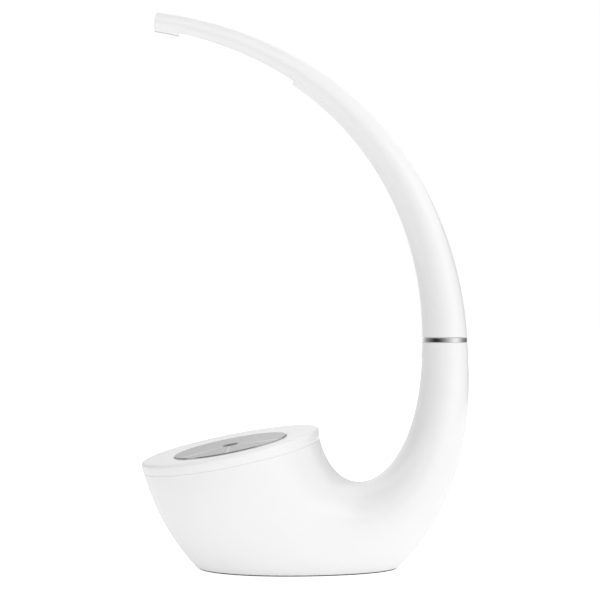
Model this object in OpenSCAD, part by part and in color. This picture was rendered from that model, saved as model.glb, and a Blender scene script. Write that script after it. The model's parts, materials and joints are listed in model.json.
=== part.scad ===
// Horn-shaped desk lamp: a bowl with a tilted dimmer dial sweeps round into a
// neck, and a slim curved arm turns on top of the neck and carries the light.
// Millimetres, +Z up. The origin is the middle of the foot on the table; the
// bowl lies towards -X, the neck towards +X, and Y = 0 is the mid-plane.

/* [Neck and swivel] */
// Diameter of the neck where the arm meets the base
neck_d = 32; // [30:0.5:34]
// Distance from the middle of the foot to the axis of the neck
neck_x = 105.5; // [100:0.5:112]
// Height of the neck's top face above the table
neck_z = 162; // [154:1:172]
// Height of the bright ring between neck and arm
ring_h = 3.5; // [2:0.5:6]
// Angle that the arm turns each way from straight ahead
swing = 90; // [30:5:120]
// Outer diameter of the hollow spindle that the arm turns on
spindle_d = 16; // [13:0.5:17]
// Bore of the hollow spindle, which the lead passes through
spindle_bore = 10; // [6:0.5:11]
// Length of the bush inside the neck
bush_l = 22; // [18:1:28]

/* [Bowl] */
// Diameter of the bowl at the joint line under its top ring
mouth_d = 128; // [120:1:136]
// Distance of the bowl's centre from the middle of the foot
mouth_x = 47.3; // [42:0.1:52]
// Height of the bowl's centre at the joint line
mouth_z = 81.5; // [76:0.5:90]
// Tilt of the bowl's top, away from the neck
mouth_tilt = 10.8; // [6:0.2:16]
// Wall of the base mouldings
base_wall = 2.6; // [2:0.1:3.2]

/* [Sweep of the base] */
// How far the back of the neck runs straight down before it turns
heel_drop = 199; // [190:1:206]
// How far the heel swells out behind the neck
heel_push = 18.8; // [12:0.2:26]
// How far the bowl's outer wall runs down before it turns
belly_drop = 182; // [174:1:190]
// Lean of the bowl's outer wall at the joint line
belly_lean = 16.6; // [12:0.2:21]
// How far the front of the neck runs straight down into the saddle
saddle_drop = 109.6; // [100:0.2:118]
// How far the bowl's inner wall runs down into the saddle
throat_drop = 59.4; // [50:0.2:68]
// Lean of the bowl's inner wall at the joint line
throat_lean = 13.8; // [9:0.2:18]
// Width of the foot as a share of the sweep's own width there
foot_narrow = 0.47; // [0.4:0.01:0.6]

/* [Foot] */
// Thickness of the soft pad under the foot
pad_h = 1; // [0.8:0.1:2]
// Thickness of the bottom cover
cover_t = 2.5; // [2:0.1:3.5]
// Height of the ballast block
ballast_h = 15; // [10:1:18]
// Length of the ballast block
ballast_l = 78; // [60:1:82]

/* [Top ring and dial] */
// Height of the top ring at its crest, over the joint line
crest_h = 7.7; // [7:0.1:9]
// Height of the top ring at the dial's edge, over the joint line
dish_h = 6.2; // [5.6:0.1:6.8]
// Wall of the top ring
ring_wall = 2.2; // [1.8:0.1:2.6]
// Diameter of the dial
dial_d = 82; // [74:0.5:88]
// Thickness of the dial
dial_t = 2.4; // [2:0.1:3]
// How far the dial stands over the top ring
dial_proud = 0.8; // [0.7:0.1:1.8]
// Gap round the dial
dial_gap = 0.3; // [0.3:0.05:0.8]
// How far the dial sinks when it is pressed
press = 0.6; // [0.3:0.1:0.8]
// Diameter of the dark cap in the middle of the dial
cap_d = 11; // [8:0.5:14]

/* [Arm] */
// Distance from the neck's axis to the underside of the tip
arm_reach = 207.8; // [190:0.2:220]
// Height from the bright ring to the underside of the tip
arm_rise = 220.1; // [205:0.1:235]
// How far the arm runs straight up from the ring before it bends
arm_low = 106.3; // [96:0.1:116]
// How far the arm runs straight back from the tip before it bends
arm_high = 125.9; // [116:0.1:136]
// Slope of the arm at its tip
tip_slope = 9.4; // [4:0.2:15]
// Diameter of the arm at its tip
tip_d = 13.6; // [12.8:0.1:15]
// Diameter that the arm tends to between its ends
waist_d = 20; // [18:0.5:22]
// Wall of the arm mouldings
arm_wall = 1.8; // [1.4:0.1:2.1]
// Bulge of the tip's end face
tip_bulge = 1.2; // [0.6:0.1:2]

/* [Light] */
// Half angle that the opal cover takes of the arm's round section
lens_angle = 35; // [30:1:48]
// Where the opal cover starts, as a share of the arm's curve
lens_from = 0.69; // [0.62:0.005:0.74]
// Where the opal cover ends, as a share of the arm's curve
lens_to = 0.955; // [0.92:0.005:0.965]
// Wall of the opal cover
lens_wall = 1.4; // [1:0.1:1.8]
// Number of light-emitting diodes
led_n = 14; // [8:1:18]
// Depth of the light board's face above the arm's underside
board_up = 4; // [3.6:0.1:4.4]

/* [Power inlet] */
// Height of the inlet's axis above the table
inlet_z = 38; // [32:0.5:44]
// Outer diameter of the inlet's barrel
inlet_d = 8; // [7:0.1:8.6]
// Bore that takes the plug
inlet_bore = 5.6; // [5:0.1:6]

/* [Hidden] */

$fn = 96;
fit = 0.05;          // clearance of one piece seated in another
press_gap = 0.01;    // clearance of a screw in its thread or a shaft in its seat
run = 0.06;          // radial clearance of a turning shaft
slip = 0.2;          // clearance of mouldings that slide together
turn_gap = 0.3;      // clearance of pieces that turn past each other
over = 1;            // how far a cutting shape runs past the face it cuts

// --- curves -----------------------------------------------------------------
arc_n = 14;          // facets of half a section
base_n = 44;         // sections along the base
arm_n = 52;          // sections along the arm

function lerp(a, b, t) = a + (b - a) * t;
function bez(p, t) = pow(1 - t, 3) * p[0] + 3 * pow(1 - t, 2) * t * p[1]
    + 3 * (1 - t) * t * t * p[2] + pow(t, 3) * p[3];
function bez_dir(p, t) = let (d = pow(1 - t, 2) * (p[1] - p[0]) + 2 * (1 - t) * t * (p[2] - p[1])
    + t * t * (p[3] - p[2])) d / norm(d);
function side_point(x, z, len, lean) = [x + len * sin(lean), z - len * cos(lean)];

// --- base: a fan of round sections between its outer and its inner edge ---------
neck_r = neck_d / 2;
mouth_r = mouth_d / 2;
mouth = [-mouth_x, mouth_z];
mouth_rim = mouth_r * [cos(mouth_tilt), sin(mouth_tilt)];
rim_out = mouth - mouth_rim;
rim_in = mouth + mouth_rim;
base_outer = [[neck_x + neck_r, neck_z], [neck_x + neck_r + heel_push, neck_z - heel_drop],
    side_point(rim_out[0], rim_out[1], belly_drop, belly_lean), rim_out];
base_inner = [[neck_x - neck_r, neck_z], [neck_x - neck_r, neck_z - saddle_drop],
    side_point(rim_in[0], rim_in[1], throat_drop, throat_lean), rim_in];
taper_h = rim_out[1] - pad_h;      // the foot's narrowing ends at the lowest point of the rim
taper_power = 1.7;

function section(inner, outer) = let (d = outer - inner) [(inner + outer) / 2, d / norm(d), norm(d) / 2];
function base_section(t) = section(bez(base_inner, t), bez(base_outer, t));
function narrow(z) = 1 - (1 - foot_narrow) * pow(1 - min(1, max(0, (z - pad_h) / taper_h)), taper_power);
function base_skin(s, phi, inset) = let (p = s[0] + (s[2] - inset) * cos(phi) * s[1])
    [p[0], (s[2] * narrow(p[1]) - inset) * sin(phi), p[1]];

// half width and place of the base's skin in section t at height z
function skin_at(t, z, inset) = let (s = base_section(t), c = (z - s[0][1]) / ((s[2] - inset) * s[1][1]),
    phi = acos(max(-1, min(1, c)))) base_skin(s, phi, inset);
function lowest(t, inset) = let (s = base_section(t)) s[0][1] + (s[2] - inset) * s[1][1];
function crossing(a, b, z, inset, steps) = let (m = (a + b) / 2) steps == 0 ? m
    : ((lowest(m, inset) > z) == (lowest(a, inset) > z)) ? crossing(m, b, z, inset, steps - 1)
    : crossing(a, m, z, inset, steps - 1);
foot_mid_t = 0.62;
root_steps = 24;
outline_n = 24;
function foot_outline(z, inset) = let (
    a = crossing(0.2, foot_mid_t, z, inset, root_steps), b = crossing(foot_mid_t, 1, z, inset, root_steps),
    half = [for (i = [0:outline_n]) let (share = (1 - cos(180 * i / outline_n)) / 2)
        skin_at(lerp(a, b, share), z, inset)])
    concat([for (p = half) [p[0], -p[1]]], [for (i = [outline_n - 1:-1:1]) [half[i][0], half[i][1]]]);

// --- arm: round sections square to its underside ---------------------------------
arm_z = neck_z + ring_h + slip;
tip_in = [neck_x - arm_reach, neck_z + ring_h + arm_rise];
arm_inner = [[neck_x - neck_r, arm_z], [neck_x - neck_r, arm_z + arm_low],
    [tip_in[0] + arm_high * cos(tip_slope), tip_in[1] - arm_high * sin(tip_slope)], tip_in];
function arm_width(t) = pow(1 - t, 2) * neck_d + 2 * t * (1 - t) * waist_d + t * t * tip_d;
function arm_section(t) = let (d = bez_dir(arm_inner, t), n = [d[1], -d[0]], w = arm_width(t))
    [bez(arm_inner, t) + n * w / 2, n, w / 2];
function arm_skin(s, phi, inset) = let (p = s[0] + (s[2] - inset) * cos(phi) * s[1])
    [p[0], (s[2] - inset) * sin(phi), p[1]];

// --- lofts ----------------------------------------------------------------------
function flip(p, side) = [p[0], side * p[1], p[2]];
function turned(faces, side) = side > 0 ? faces : [for (f = faces) [for (k = [len(f) - 1:-1:0]) f[k]]];
function loft_walls(m, n) = [for (i = [0:n - 2], j = [0:m - 1]) let (a = i * m + j, b = i * m + (j + 1) % m)
    each [[a, b, b + m], [a, b + m, a + m]]];
// a closed solid through rings of convex outline
module loft(rings, side) {
    m = len(rings[0]);
    n = len(rings);
    ends = [for (j = [1:m - 2]) each [[0, j + 1, j], (n - 1) * m * [1, 1, 1] + [0, j, j + 1]]];
    polyhedron([for (r = rings, p = r) flip(p, side)], turned(concat(loft_walls(m, n), ends), side));
}
// a closed shell through C-shaped rings: a corner point, the outer arc and the inner arc back
module shell_loft(rings, side) {
    m = len(rings[0]);
    n = len(rings);
    k = (m - 1) / 2;
    cap = concat([[0, 2, 1], [0, m - 2, 2], [0, m - 1, m - 2]],
        [for (j = [2:k - 1]) each [[j, m - j, j + 1], [j + 1, m - j, m - j - 1]]]);
    ends = [for (f = cap) each [f, (n - 1) * m * [1, 1, 1] + [f[2], f[1], f[0]]]];
    polyhedron([for (r = rings, p = r) flip(p, side)], turned(concat(loft_walls(m, n), ends), side));
}
function mid(a, b) = (a + b) / 2;
// values in order: a regular grid from 0 to 1 with extra stations put in between
function grid(n, extra) = concat([for (i = [0:n - 1]) each concat([i / n],
    [for (a = extra) if (a > i / n + step_t / 4 && a < (i + 1) / n - step_t / 4) a])], [1]);
step_t = 0.0006;     // a step across a section is this share of the curve long

// the angle from which section s stands above the foot's plane
function cut_from(s, inset) = (s[0][1] + (s[2] - inset) * s[1][1] < pad_h)
    ? acos((pad_h - s[0][1]) / ((s[2] - inset) * s[1][1])) : 0;
// the seat of a round insert of radius r in section s, square to the neck's axis
function seat(s, phi, r) = let (x = neck_x + r * cos(phi))
    [x, r * sin(phi), s[0][1] + (x - s[0][0]) * s[1][1] / s[1][0]];
function base_ring(t) = let (s = base_section(t), a = cut_from(s, 0), b = cut_from(s, base_wall),
    outer = [for (j = [0:arc_n]) base_skin(s, lerp(a, 180, j / arc_n), 0)],
    inner = [for (j = [arc_n:-1:0]) t <= collar_t + step_t / 2 ? seat(s, 180 * j / arc_n, seat_r)
        : base_skin(s, lerp(b, 180, j / arc_n), base_wall)],
    corner = (a > 0 && b == 0) ? let (p = s[0] + (pad_h - s[0][1]) / s[1][1] * s[1]) [p[0], 0, pad_h]
        : mid(outer[0], inner[arc_n]))
    concat([corner], outer, inner);

// --- places ---------------------------------------------------------------------
module at_mouth() { translate([mouth[0], 0, mouth[1]]) rotate([0, -mouth_tilt, 0]) children(); }
module at_neck(z) { translate([neck_x, 0, z]) children(); }
module on_arm(t, up) {
    s = arm_section(t);
    p = s[0] + (up - s[2]) * s[1];
    translate([p[0], 0, p[1]]) rotate([0, atan2(s[1][0], s[1][1]), 0]) children();
}
module tube(r_out, r_in, h) {
    difference() {
        cylinder(r = r_out, h = h);
        translate([0, 0, -over]) cylinder(r = r_in, h = h + 2 * over);
    }
}
module screw(r, head_r, head_h, length) {
    cylinder(r = head_r, h = head_h);
    cylinder(r = r, h = length);
}
pan_head_r = 2.4;
pan_head_h = 1.2;
// a small screw whose head lies under the plate that it holds
module pan_screw(length) {
    cylinder(r = pilot_r - press_gap, h = length);
    translate([0, 0, -pan_head_h]) cylinder(r = pan_head_r, h = pan_head_h);
}
module wire(path, r, up) {
    n = len(path);
    sides = 8;
    function way(i) = let (d = path[min(i + 1, n - 1)] - path[max(i - 1, 0)]) d / norm(d);
    function across(i) = let (c = cross(way(i), up)) c / norm(c);
    loft([for (i = [0:n - 1]) let (a = across(i), b = cross(a, way(i)))
        [for (j = [0:sides - 1]) path[i] + r * (cos(360 * j / sides) * a + sin(360 * j / sides) * b)]], 1);
}
function curve3(a, b, c, d, steps) = [for (i = [0:steps]) bez([a, b, c, d], i / steps)];
// a lead from a, where it leaves along da, to b, where it leaves along db; both ends start straight
function lead_path(a, da, pull_a, b, db, pull_b, steps) =
    concat([a], curve3(a + da, a + pull_a * da, b + pull_b * db, b + db, steps), [b]);

// --- foot -----------------------------------------------------------------------
cover_room = 0.7;                    // clearance of the cover and blocks from the wall's facets
cover_in = base_wall + cover_room;
block_l = 13;                        // length of a joining block at each end of the foot
block_h = 12;
post_end = 9.5;                      // the screws stand this far inside each end of the foot's cavity
post_y = 5;
pilot_r = 1.25;
screw_r = 1.5;
screw_head_r = 2.9;
screw_head_h = 1.6;
screw_l = 11;
cover_top = pad_h + cover_t;
foot_line = foot_outline(pad_h, base_wall);
post_xs = [foot_line[outline_n][0] + post_end, foot_line[0][0] - post_end];
ballast_x = (post_xs[0] + post_xs[1]) / 2;
ballast_top = cover_top + ballast_h;

module each_post(sides) { for (x = post_xs, s = sides) translate([x, s * post_y, 0]) children(); }

// --- place of the inlet -----------------------------------------------------------
inlet_t = 0.66;
inlet_depth = 9;                     // depth of the hole that takes the plug
inlet_r = inlet_d / 2;
inlet_s = base_section(inlet_t);
inlet_phi = acos((inlet_z - inlet_s[0][1]) / (inlet_s[2] * inlet_s[1][1]));
inlet_at = base_skin(inlet_s, inlet_phi, 0);
inlet_dir = let (c = cross(base_skin(inlet_s, inlet_phi + 1, 0) - inlet_at,
    base_skin(base_section(inlet_t + 0.01), inlet_phi, 0) - inlet_at)) c / norm(c) * (c[1] > 0 ? 1 : -1);
// along the wall's own normal, out of the back of the bowl
module at_inlet(up) {
    translate(inlet_at + up * inlet_dir)
        rotate([0, acos(inlet_dir[2]), atan2(inlet_dir[1], inlet_dir[0])]) children();
}

// --- neck -----------------------------------------------------------------------
bush_r = 13;
spindle_r = spindle_d / 2;
spindle_below = 8;                   // how far the spindle stands out under the bush
pin_r = 1.5;
pin_drop = bush_l / 2;               // the stop pin's depth below the neck's top face
pin_reach = 10.6;
slot_r = pin_reach + turn_gap;
slot_half = pin_r + turn_gap;
slot_swing = swing + asin(slot_half / (spindle_r + 1));
flange_h = 3;
flange_r = 12;
plug_h = 11;
plug_r = 12;
facet = cos(90 / arc_n);             // flat of a seat's facet to its corner
seat_r = (bush_r + 2 * fit) / facet;
socket_r = (plug_r + 2 * fit) / facet;
function neck_share(z, a, b, steps) = let (m = (a + b) / 2) steps == 0 ? m
    : base_section(m)[0][1] > z ? neck_share(z, m, b, steps - 1) : neck_share(z, a, m, steps - 1);
function arm_share(z, a, b, steps) = let (m = (a + b) / 2) steps == 0 ? m
    : arm_section(m)[0][1] < z ? arm_share(z, m, b, steps - 1) : arm_share(z, a, m, steps - 1);
collar_t = neck_share(neck_z - bush_l - 1, 0, 0.3, root_steps);
socket_t = arm_share(arm_z + flange_h + plug_h, 0, 0.3, root_steps);

module base_shell(side) {
    foot_ts = [for (w = [0, base_wall]) crossing(0.2, foot_mid_t, pad_h, w, root_steps)];
    bowl_ts = [for (w = [base_wall, 0]) crossing(foot_mid_t, 1, pad_h, w, root_steps)];
    extra = concat([collar_t, collar_t + step_t], [for (t = foot_ts) each [t - step_t, t + step_t]],
        [for (t = bowl_ts) each [t - step_t, t + step_t]]);
    color([0.95, 0.95, 0.95]) difference() {
        shell_loft([for (t = grid(base_n, extra)) base_ring(t)], side);
        if (side > 0) at_inlet(-mouth_r / 2) cylinder(r = inlet_r + fit, h = mouth_r);
    }
}
module base_shell_front() { base_shell(-1); }
module base_shell_back() { base_shell(1); }
module joining_blocks() {
    color([0.6, 0.6, 0.62]) difference() {
        translate([0, 0, cover_top]) linear_extrude(block_h) polygon(foot_outline(cover_top, cover_in));
        translate([post_xs[0] + block_l - post_end, -mouth_r, 0])
            cube([post_xs[1] - post_xs[0] - 2 * (block_l - post_end), mouth_d, mouth_z]);
        each_post([-1, 1]) translate([0, 0, cover_top - over]) cylinder(r = pilot_r, h = screw_l + over);
    }
}
module bottom_cover() {
    color([0.25, 0.25, 0.26]) difference() {
        translate([0, 0, pad_h]) linear_extrude(cover_t) polygon(foot_outline(pad_h, cover_in));
        each_post([-1, 1]) {
            translate([0, 0, -over]) cylinder(r = screw_r + slip, h = cover_top + 2 * over);
            translate([0, 0, -over]) cylinder(r = screw_head_r + slip, h = pad_h + over + screw_head_h);
        }
        each_bolt() {
            translate([0, 0, -over]) cylinder(r = bolt_r + slip, h = cover_top + 2 * over);
            translate([0, 0, -over]) cylinder(r = bolt_head_r + slip, h = pad_h + over + screw_head_h);
        }
    }
}
module cover_screws() {
    color([0.7, 0.7, 0.7]) each_post([-1, 1]) translate([0, 0, pad_h])
        screw(pilot_r - press_gap, screw_head_r, screw_head_h, screw_l);
}
pad_in = 1;
module foot_pad() {
    color([0.12, 0.12, 0.12]) linear_extrude(pad_h) polygon(foot_outline(pad_h, pad_in));
}

// --- ballast and driver -----------------------------------------------------------
ballast_room = 1;
bolt_r = 2;
bolt_head_r = 3.6;
bolt_l = 9;
bolt_pitch = 44;
stand_h = 4;
stand_r = 2.6;
board_l = 62;
board_w = 22;
board_t = 1.6;
board_z = ballast_top + stand_h;
stand_x = board_l / 2 - 4;
stand_y = board_w / 2 - 4;
board_screw_l = board_t + 3;
module each_bolt() { for (s = [-1, 1]) translate([ballast_x + s * bolt_pitch / 2, 0, 0]) children(); }
module each_stand() {
    for (a = [-1, 1], b = [-1, 1]) translate([ballast_x + a * stand_x, b * stand_y, 0]) children();
}
module ballast() {
    color([0.45, 0.45, 0.47]) difference() {
        union() {
            intersection() {
                translate([0, 0, cover_top]) linear_extrude(ballast_h)
                    polygon(foot_outline(pad_h, cover_in + ballast_room));
                translate([ballast_x - ballast_l / 2, -mouth_r, 0])
                    cube([ballast_l, mouth_d, ballast_top + over]);
            }
            each_stand() translate([0, 0, ballast_top - over]) cylinder(r = stand_r, h = stand_h + over);
        }
        each_bolt() translate([0, 0, cover_top - over]) cylinder(r = bolt_r, h = bolt_l + over);
        each_stand() translate([0, 0, board_z - 4]) cylinder(r = pilot_r, h = 4 + over);
    }
}
module ballast_bolts() {
    color([0.7, 0.7, 0.7]) each_bolt() translate([0, 0, pad_h])
        screw(bolt_r - press_gap, bolt_head_r, screw_head_h, bolt_l + cover_t - 1);
}
module driver_board() {
    color([0.1, 0.35, 0.2]) difference() {
        translate([ballast_x - board_l / 2, -board_w / 2, board_z]) cube([board_l, board_w, board_t]);
        each_stand() translate([0, 0, board_z - over]) cylinder(r = screw_r, h = board_t + 2 * over);
    }
}
plug_l = 8;                          // plug housings at both ends of the board and at its back edge
plug_w = 6;
plug_box_h = 5;
plug_top = board_z + board_t + plug_box_h;
cell = 14;                           // pitch of the larger parts along the board
part_gap = 2.5;                      // their distance to either side of its middle line
capacitor_r = 5;
capacitor_h = 12;
coil_r = 5.5;
coil_h = 6;
chip_l = 8;
chip_w = 6;
chip_h = 1.6;
module driver_parts() {
    color([0.2, 0.2, 0.22]) translate([ballast_x, 0, board_z + board_t]) {
        translate([-cell, part_gap, 0]) cylinder(r = capacitor_r, h = capacitor_h);
        translate([-part_gap, -part_gap, 0]) cylinder(r = coil_r, h = coil_h);
        translate([cell / 2, -part_gap - chip_w, 0]) cube([chip_l, chip_w, chip_h]);
        translate([cell / 2, part_gap, 0]) cube([chip_l / 2, chip_w, chip_h]);
        for (x = [-board_l / 2, board_l / 2 - plug_l]) translate([x, -plug_w / 2, 0])
            cube([plug_l, plug_w, plug_box_h]);
        translate([-plug_l / 2, board_w / 2 - plug_w, 0]) cube([plug_l, plug_w, plug_box_h]);
    }
}
module board_screws() {
    color([0.75, 0.75, 0.75]) each_stand() translate([0, 0, board_z + board_t]) mirror([0, 0, 1])
        pan_screw(board_screw_l);
}

// --- inlet ----------------------------------------------------------------------
inlet_back = inlet_depth + 4;
inlet_pin_r = 1;
inlet_flange = 1;
inlet_floor = inlet_flange - inlet_depth;
inlet_flange_w = 1.8;
facet_room = 0.2;                    // room for the facets of the wall under the flange
module inlet_socket() {
    color([0.15, 0.15, 0.16]) at_inlet(facet_room) {
        difference() {
            union() {
                translate([0, 0, -inlet_back]) cylinder(r = inlet_r, h = inlet_back + inlet_flange);
                cylinder(r = inlet_r + inlet_flange_w, h = inlet_flange);
            }
            translate([0, 0, inlet_floor]) cylinder(r = inlet_bore / 2, h = inlet_depth + over);
        }
        translate([0, 0, inlet_floor - over]) cylinder(r = inlet_pin_r, h = inlet_depth - 1 + over);
    }
}
module inlet_nut() {
    color([0.75, 0.76, 0.78]) at_inlet(-base_wall - inlet_nut_h - inlet_sag) difference() {
        cylinder(r = inlet_nut_r, h = inlet_nut_h, $fn = 6);
        translate([0, 0, -over]) cylinder(r = inlet_r + fit, h = inlet_nut_h + 2 * over);
    }
}
inlet_nut_r = inlet_r + 3;
inlet_nut_h = 2;
inlet_sag = 1.3;                     // the wall bows in behind the nut this far
lead_r = 1.1;
lead_pull = 16;                      // how far a lead runs on straight before it bends
module inlet_lead() {
    a = inlet_at + (facet_room - inlet_back) * inlet_dir;
    b = [ballast_x, (board_w - plug_w) / 2, plug_top];
    color([0.1, 0.1, 0.1]) wire(lead_path(a, -inlet_dir, 5, b, [0, 0, 1], 9, 14), lead_r, [1, 0, 0]);
}

// --- top ring and deck --------------------------------------------------------------
flare = 0.6;                         // the side of the ring leans out this much
crest_r = 2.2;                       // radius of its rounded edge
dial_r = dial_d / 2;
hole_r = dial_r + dial_gap;
spigot_h = 3;
spigot_r = mouth_r - base_wall - spigot_h * tan(belly_lean) - slip;
spigot_wall = 2.4;
lip = 2;
dial_z = dish_h + dial_proud - dial_t;      // the dial's underside
side_top = crest_h - crest_r;
inner_wall = mouth_r - base_wall;
deck_z = -1;                         // the deck's top face
deck_t = 2;
deck_r = spigot_r - spigot_wall - 1;
boss_r = 3.4;
boss_at = deck_r - boss_r - 1.6;
boss_n = 3;
deck_screw_l = 7;
module each_boss() {
    for (i = [0:boss_n - 1]) rotate([0, 0, 60 + 360 * i / boss_n]) translate([boss_at, 0, 0]) children();
}
module top_ring() {
    edge = [for (a = [0:15:90]) [mouth_r + flare - crest_r, side_top] + crest_r * [cos(a), sin(a)]];
    color([0.95, 0.95, 0.95]) at_mouth() difference() {
        union() {
            rotate_extrude() polygon(concat(
                [[spigot_r - spigot_wall, -spigot_h], [spigot_r, -spigot_h], [spigot_r, 0], [mouth_r, 0]],
                edge,
                [[hole_r, dish_h], [hole_r, dish_h - lip - ring_wall],
                [hole_r + lip, dish_h - lip - ring_wall], [hole_r + lip, dish_h - ring_wall],
                [spigot_r - spigot_wall, crest_h - ring_wall]]));
            each_boss() translate([0, 0, deck_z]) cylinder(r = boss_r, h = crest_h - ring_wall - deck_z);
        }
        each_boss() translate([0, 0, deck_z - over])
            cylinder(r = pilot_r, h = deck_screw_l - deck_t + over);
    }
}
encoder_w = 14;
encoder_h = 6.5;
encoder_top = deck_z - deck_t - 0.1;
sleeve_r = 4.5;
sleeve_top = deck_z + 2.4;
shaft_r = 3;
dial_board_z = encoder_top - encoder_h;
dial_board_l = 40;
dial_board_w = 26;
leg_x = dial_board_l / 2 - 4;
leg_r = 2.6;
module each_leg() { for (s = [-1, 1]) translate([s * leg_x, 0, 0]) children(); }
module deck_plate() {
    color([0.85, 0.85, 0.85]) at_mouth() difference() {
        union() {
            translate([0, 0, deck_z - deck_t]) cylinder(r = deck_r, h = deck_t);
            each_leg() translate([0, 0, dial_board_z]) cylinder(r = leg_r, h = encoder_h + deck_t);
        }
        translate([0, 0, deck_z - deck_t - over]) cylinder(r = sleeve_r + slip, h = deck_t + 2 * over);
        each_boss() translate([0, 0, deck_z - deck_t - over])
            cylinder(r = screw_r + slip, h = deck_t + 2 * over);
        each_leg() translate([0, 0, dial_board_z - over]) cylinder(r = pilot_r, h = 5 + over);
    }
}
module deck_screws() {
    color([0.7, 0.7, 0.7]) at_mouth() each_boss() translate([0, 0, deck_z - deck_t])
        pan_screw(deck_screw_l - 1);
}
module dial_board() {
    color([0.1, 0.35, 0.2]) at_mouth() difference() {
        translate([-dial_board_l / 2, -dial_board_w / 2, dial_board_z - board_t])
            cube([dial_board_l, dial_board_w, board_t]);
        each_leg() translate([0, 0, dial_board_z - board_t - over])
            cylinder(r = screw_r, h = board_t + 2 * over);
    }
}
module dial_board_screws() {
    color([0.75, 0.75, 0.75]) at_mouth() each_leg() translate([0, 0, dial_board_z - board_t])
        pan_screw(board_screw_l);
}

// --- encoder and dial -----------------------------------------------------------------
rotor_r = 5.4;
rotor_h = 2;
rotor_z = dial_board_z + 2.4;
room_h = rotor_h + 2 * turn_gap;
room_floor = dial_board_z + 0.5;      // floor of the room under the shaft
contact_h = 0.5;
shaft_bottom = room_floor + contact_h + turn_gap + press;
shaft_top = dial_z - 0.4;
hub_r = 8;
hub_flange_r = 13;
hub_flange_h = 1.2;
hub_bottom = sleeve_top + press + 0.6;
module encoder_body() {
    color([0.3, 0.3, 0.32]) at_mouth() difference() {
        union() {
            translate([-encoder_w / 2, -encoder_w / 2, dial_board_z])
                cube([encoder_w, encoder_w, encoder_h]);
            translate([0, 0, encoder_top - over])
                cylinder(r = sleeve_r, h = sleeve_top - encoder_top + over);
        }
        translate([0, 0, room_floor]) cylinder(r = shaft_r + run, h = mouth_r);
        translate([0, 0, rotor_z - turn_gap]) cylinder(r = rotor_r + turn_gap, h = room_h);
    }
}
encoder_nut_r = 6.5;
encoder_nut_h = 1.8;
module encoder_nut() {
    color([0.75, 0.76, 0.78]) at_mouth() translate([0, 0, deck_z]) difference() {
        cylinder(r = encoder_nut_r, h = encoder_nut_h, $fn = 6);
        translate([0, 0, -over]) cylinder(r = sleeve_r + fit, h = encoder_nut_h + 2 * over);
    }
}
// the contact that the shaft meets at the end of its press
contact_r = 2.2;
module press_contact() {
    color([0.3, 0.3, 0.3]) at_mouth() translate([0, 0, room_floor]) cylinder(r = contact_r, h = contact_h);
}
module encoder_rotor() {
    color([0.8, 0.78, 0.7]) at_mouth() translate([0, 0, rotor_z]) tube(rotor_r, shaft_r + run, rotor_h);
}
module encoder_shaft() {
    color([0.75, 0.76, 0.78]) at_mouth() translate([0, 0, shaft_bottom])
        cylinder(r = shaft_r, h = shaft_top - shaft_bottom);
}
module dial_hub() {
    color([0.3, 0.3, 0.32]) at_mouth() difference() {
        union() {
            translate([0, 0, hub_bottom]) cylinder(r = hub_r, h = dial_z - hub_bottom);
            translate([0, 0, dial_z - hub_flange_h]) cylinder(r = hub_flange_r, h = hub_flange_h);
        }
        translate([0, 0, hub_bottom - over])
            cylinder(r = shaft_r + press_gap, h = shaft_top - hub_bottom + over);
    }
}
cap_h = 0.9;
cap_proud = 0.15;
dial_edge = 0.6;                     // chamfer round the dial's face
module dial_disc() {
    top = dial_z + dial_t;
    color([0.78, 0.79, 0.8]) at_mouth() difference() {
        rotate_extrude() polygon([[0, dial_z], [dial_r, dial_z], [dial_r, top - dial_edge],
            [dial_r - dial_edge, top], [0, top]]);
        translate([0, 0, top - cap_h + cap_proud]) cylinder(r = cap_d / 2 + fit, h = cap_h + over);
    }
}
module dial_cap() {
    color([0.2, 0.2, 0.21]) at_mouth() translate([0, 0, dial_z + dial_t - cap_h + cap_proud])
        cylinder(r = cap_d / 2, h = cap_h);
}
module dial_lead() {
    c = cos(mouth_tilt);
    s = sin(mouth_tilt);
    low = dial_board_z - board_t;
    x = dial_board_l / 4;
    a = [mouth[0] + x * c - low * s, dial_board_w / 4, mouth[1] + x * s + low * c];
    b = [ballast_x - board_l / 2 + plug_l / 2, 0, plug_top];
    color([0.1, 0.1, 0.1]) wire(lead_path(a, [s, 0, -c], lead_pull, b, [0, 0, 1], lead_pull, 16),
        lead_r, [0, 1, 0]);
}

// --- neck and swivel ------------------------------------------------------------------
module neck_bush() {
    color([0.85, 0.85, 0.82]) at_neck(neck_z) difference() {
        translate([0, 0, -bush_l]) cylinder(r = bush_r, h = bush_l + ring_h);
        translate([0, 0, -bush_l - over]) cylinder(r = spindle_r + run, h = bush_l + ring_h + 2 * over);
        difference() {
            translate([0, 0, -pin_drop - slot_half]) cylinder(r = slot_r, h = 2 * slot_half);
            translate([0, 0, -pin_drop - slot_half - over]) linear_extrude(2 * slot_half + 2 * over)
                polygon(concat([[0, 0]], [for (i = [0:8]) let (a = lerp(slot_swing, 360 - slot_swing, i / 8))
                    2 * slot_r * [cos(a), sin(a)]]));
        }
        // the way by which the pin is put in
        translate([0, 0, -pin_drop]) rotate([0, 90, 0]) cylinder(r = pin_r + turn_gap, h = bush_r + over);
    }
}
module bright_ring() {
    chamfer = 0.3;
    color([0.8, 0.8, 0.82]) at_neck(neck_z) rotate_extrude() polygon([
        [bush_r + fit, 0], [neck_r - chamfer, 0], [neck_r, chamfer],
        [neck_r, ring_h - chamfer], [neck_r - chamfer, ring_h], [bush_r + fit, ring_h]]);
}
spindle_bottom = neck_z - bush_l - spindle_below;
nut_h = 5;
washer_h = 1.2;
washer_r = bush_r - 1.5;
spindle_top = arm_z + flange_h + plug_h;
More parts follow.
